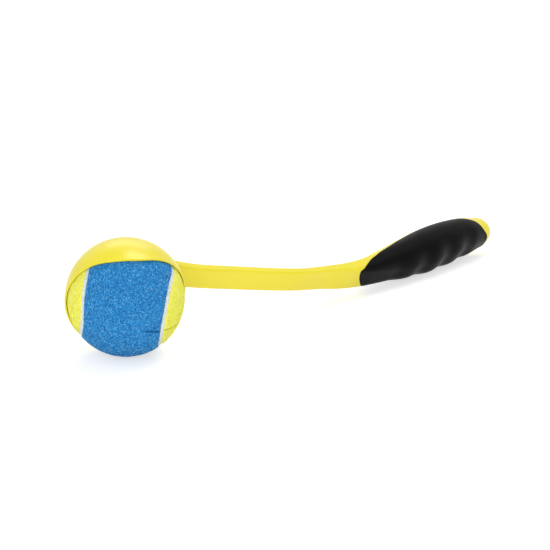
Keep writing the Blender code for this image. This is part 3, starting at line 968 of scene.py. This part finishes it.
def felt_finish(name, dark, middle, pale):
    """Felt in three tones of one colour."""
    made, tree, shader = new_finish(name)
    streaks = [grain(tree, 0.9, detail=3, distortion=1.8, stretch=(1, 0.22, 1), turn=turn)
               for turn in STREAK_TURNS]
    mat = streaks[0]
    for streak in streaks[1:]:
        mat = add_node(tree, "ShaderNodeMath", {0: mat, 1: streak}, operation="MAXIMUM").outputs[0]
    colour = tint(tree, between(tree, mat, 0.46, 0.6, 0, 1), dark, middle)
    colour = tint(tree, between(tree, mat, 0.62, 0.74, 0, 1), colour, pale)
    # Painted shade: the felt's colour is darkened along the crease, by its depth
    painted_shade_share = add_node(tree, "ShaderNodeAttribute", attribute_name="crease").outputs["Fac"]
    shade = [value * CREASE_SHADE for value in dark]
    colour = tint(tree, between(tree, painted_shade_share, 0, 1, 0, 0.9), colour, shade)
    tree.links.new(colour, shader.inputs["Base Color"])
    shader.inputs["Roughness"].default_value = 0.95
    shader.inputs["Specular IOR Level"].default_value = 0.15
    shader.inputs["Sheen Weight"].default_value = 0.25
    shader.inputs["Sheen Roughness"].default_value = 0.5
    shader.inputs["Sheen Tint"].default_value = (*pale, 1)
    tufts = relief(tree, shader, mat, 0.25)
    relief(tree, shader, grain(tree, 1.6, detail=3), 0.2, before=tufts)
    return made


blue_felt = felt_finish("blue_felt", (0.004, 0.078, 0.29), (0.020, 0.255, 0.63), (0.11, 0.51, 0.86))
yellow_felt = felt_finish("yellow_green_felt", (0.78, 0.77, 0.04), (0.95, 0.94, 0.12), (0.99, 0.98, 0.32))

for panel, finish, node, slot in ((panels[0], blue_felt, "ball_felt_blue", "blue_felt"),
                                  (panels[1], yellow_felt, "ball_felt_yellow", "yellow_felt")):
    smooth_shade(panel, 60)
    lay_down(panel, BALL_AXES, finish)
    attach(panel, "ball")
    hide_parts(node)

# %% [markdown]
# ## Loose fibres on the felt
#
# Close up, felt is a mass of short curled hairs, and they are what makes its edge soft and its face speckled.
# One hair is modelled as a three-sided rod with pointed ends, which is all that shows of something so thin.

# %% One fibre
FIBRE_SHOULDER = 0.45

bpy.ops.object.select_all(action="DESELECT")
bpy.ops.mesh.primitive_cylinder_add(vertices=3, radius=1, depth=2, end_fill_type="TRIFAN",
                                    rotation=(0, math.pi / 2, 0))
hair = named("one_fibre")
bpy.ops.object.transform_apply(location=True, rotation=True, scale=True)
hair_points = np.array([point.co for point in hair.data.vertices])
at_tip = np.hypot(hair_points[:, 1], hair_points[:, 2]) < 0.5
hair_points[~at_tip, 0] *= FIBRE_SHOULDER
hair_faces = [list(face.vertices) for face in hair.data.polygons]
bpy.data.objects.remove(hair, do_unlink=True)
print("one fibre of", len(hair_faces), "faces")

# %% [markdown]
# ## Thousands of fibres
#
# The hair is laid on the ball thousands of times, each time at another place, in another direction, with
# another length and curl. Copied objects would be too many to handle, so all the hairs of a panel go into
# one mesh. The numbers come from a seeded generator, so the ball is the same in each run. The middle of each
# hair keeps off the seam, and no hair lies across the crease.

# %% Fibres
FIBRE_COUNT = 9000
FIBRE_LENGTHS = (0.0011, 0.0032)
FIBRE_RADIUS = 0.00007
FIBRE_RISE = 0.0002
FIBRE_CURL = 0.0009
FIBRE_MARGIN = 0.0006
FIBRE_REACH = (-0.4, 0, 0.4)


def fibres(name, side, seed):
    """Hairs lying all over one panel."""
    dice = np.random.default_rng(seed)
    points, faces = [], []
    laid = 0
    while laid < FIBRE_COUNT:
        out = Vector(dice.normal(size=3)).normalized()
        run = out.cross(Vector(dice.normal(size=3))).normalized()
        length = dice.uniform(*FIBRE_LENGTHS)
        curl = dice.uniform(-FIBRE_CURL, FIBRE_CURL)
        rise = dice.uniform(0.3, 1) * FIBRE_RISE
        spots = [(out + run * reach * length / BALL_RADIUS).normalized() for reach in FIBRE_REACH]
        if max(crease_depth(spot) for spot in spots) > CREASE_DEPTH / 4:
            continue
        if from_seam(out)[0] * side < HALF_CHANNEL + FIBRE_MARGIN:
            continue
        beside = out.cross(run)
        for x, y, z in hair_points:
            flat = out * BALL_RADIUS + run * (x * length / 2) + beside * (curl * x * x + FIBRE_RADIUS * y)
            points.append(flat.normalized() * (BALL_RADIUS + rise * (1 - 2 * x * x) + FIBRE_RADIUS * z))
        faces.extend([laid * len(hair_points) + k for k in face] for face in hair_faces)
        laid += 1
    made = bpy.data.meshes.new(name)
    made.from_pydata(points, [], faces)
    piece = bpy.data.objects.new(name, made)
    bpy.context.scene.collection.objects.link(piece)
    return piece


def fibre_finish(name, dark, pale):
    """The felt's colour, different from hair to hair."""
    made, tree, shader = new_finish(name)
    patches = between(tree, grain(tree, 0.9, detail=1), 0.4, 0.62, 0, 1)
    tree.links.new(tint(tree, patches, dark, pale), shader.inputs["Base Color"])
    tree.links.new(between(tree, patches, 0, 1, 0.95, 0.8), shader.inputs["Roughness"])
    shader.inputs["Specular IOR Level"].default_value = 0.2
    return made


TUFTS = (("felt_fibres_blue", blue_side, 11, "blue_felt", (0.008, 0.145, 0.46), (0.22, 0.69, 0.99)),
         ("felt_fibres_yellow", -blue_side, 12, "yellow_felt", (0.82, 0.82, 0.05), (1.0, 1.0, 0.42)))
for name, side, seed, slot, dark, pale in TUFTS:
    tuft = fibres(name, side, seed)
    lay_down(tuft, BALL_AXES, fibre_finish(name, dark, pale))
    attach(tuft, "ball")

# %% [markdown]
# ## The rubber strip in the seam
#
# The gap between the panels is filled with pale rubber that lies a little lower than the felt. A grid is
# bent round the seam line, its two ends are merged, and Solidify gives it its depth.

# %% Seam strip
STRIP_STEPS = 512
STRIP_COLUMNS = 8
STRIP_HALF_WIDTH = 0.00116
STRIP_SINK = 0.00042
STRIP_CROWN = 0.00012
STRIP_DEPTH = 0.0014

bpy.ops.object.select_all(action="DESELECT")
bpy.ops.mesh.primitive_grid_add(x_subdivisions=STRIP_STEPS, y_subdivisions=STRIP_COLUMNS, size=2)
strip = named("seam_strip")
for point in strip.data.vertices:
    k = round((point.co.x + 1) / 2 * STRIP_STEPS) * (SEAM_POINTS // STRIP_STEPS) % SEAM_POINTS
    share = point.co.y
    low = STRIP_SINK - STRIP_CROWN * (1 - share * share)
    out = (seam[k] + seam_across[k] * share * STRIP_HALF_WIDTH / BALL_RADIUS).normalized()
    point.co = out * (BALL_RADIUS - low)
work_on(strip)
bpy.ops.object.mode_set(mode="EDIT")
bpy.ops.mesh.select_all(action="SELECT")
bpy.ops.mesh.remove_doubles(threshold=MERGE_DISTANCE)
bpy.ops.mesh.normals_make_consistent(inside=False)
bpy.ops.object.mode_set(mode="OBJECT")
outward = sum(face.normal.dot(face.center) for face in strip.data.polygons)
if outward < 0:
    bpy.ops.object.mode_set(mode="EDIT")
    bpy.ops.mesh.flip_normals()
    bpy.ops.object.mode_set(mode="OBJECT")
apply_modifier(strip, "SOLIDIFY", thickness=STRIP_DEPTH, offset=-1)
print("seam strip of", len(strip.data.polygons), "faces")

# %% [markdown]
# ## The strip's rubber
#
# It is a pale, slightly blue rubber with a matt skin and faint cloudy patches, which also make it uneven to
# the touch, so one pattern drives its colour and its relief.

# %% Seam rubber
pale_rubber, tree, shader = new_finish("pale_seam_rubber")
mottle = grain(tree, 1.5, detail=3)
tree.links.new(tint(tree, between(tree, mottle, 0.35, 0.65, 0, 1), (0.62, 0.66, 0.68), (0.82, 0.84, 0.84)),
               shader.inputs["Base Color"])
shader.inputs["Roughness"].default_value = 0.62
relief(tree, shader, mottle, 0.08)
smooth_shade(strip, 50)
lay_down(strip, BALL_AXES, pale_rubber)
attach(strip, "ball")
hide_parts("ball_seam")

# %% [markdown]
# ## The ball's core
#
# The two rubber half shells under the felt are right as they are in the CAD model. They only get a matt dark
# rubber with a moulded grain.

# %% Core rubber
core_rubber, tree, shader = new_finish("dark_core_rubber")
tree.links.new(tint(tree, grain(tree, 3, detail=3), (0.04, 0.04, 0.037), (0.06, 0.06, 0.055)),
               shader.inputs["Base Color"])
shader.inputs["Roughness"].default_value = 0.72
relief(tree, shader, grain(tree, 0.6, detail=2), 0.03)
for node in ("ball_core_front", "ball_core_back"):
    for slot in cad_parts[node].material_slots:
        slot.material = core_rubber
print("core halves finished")
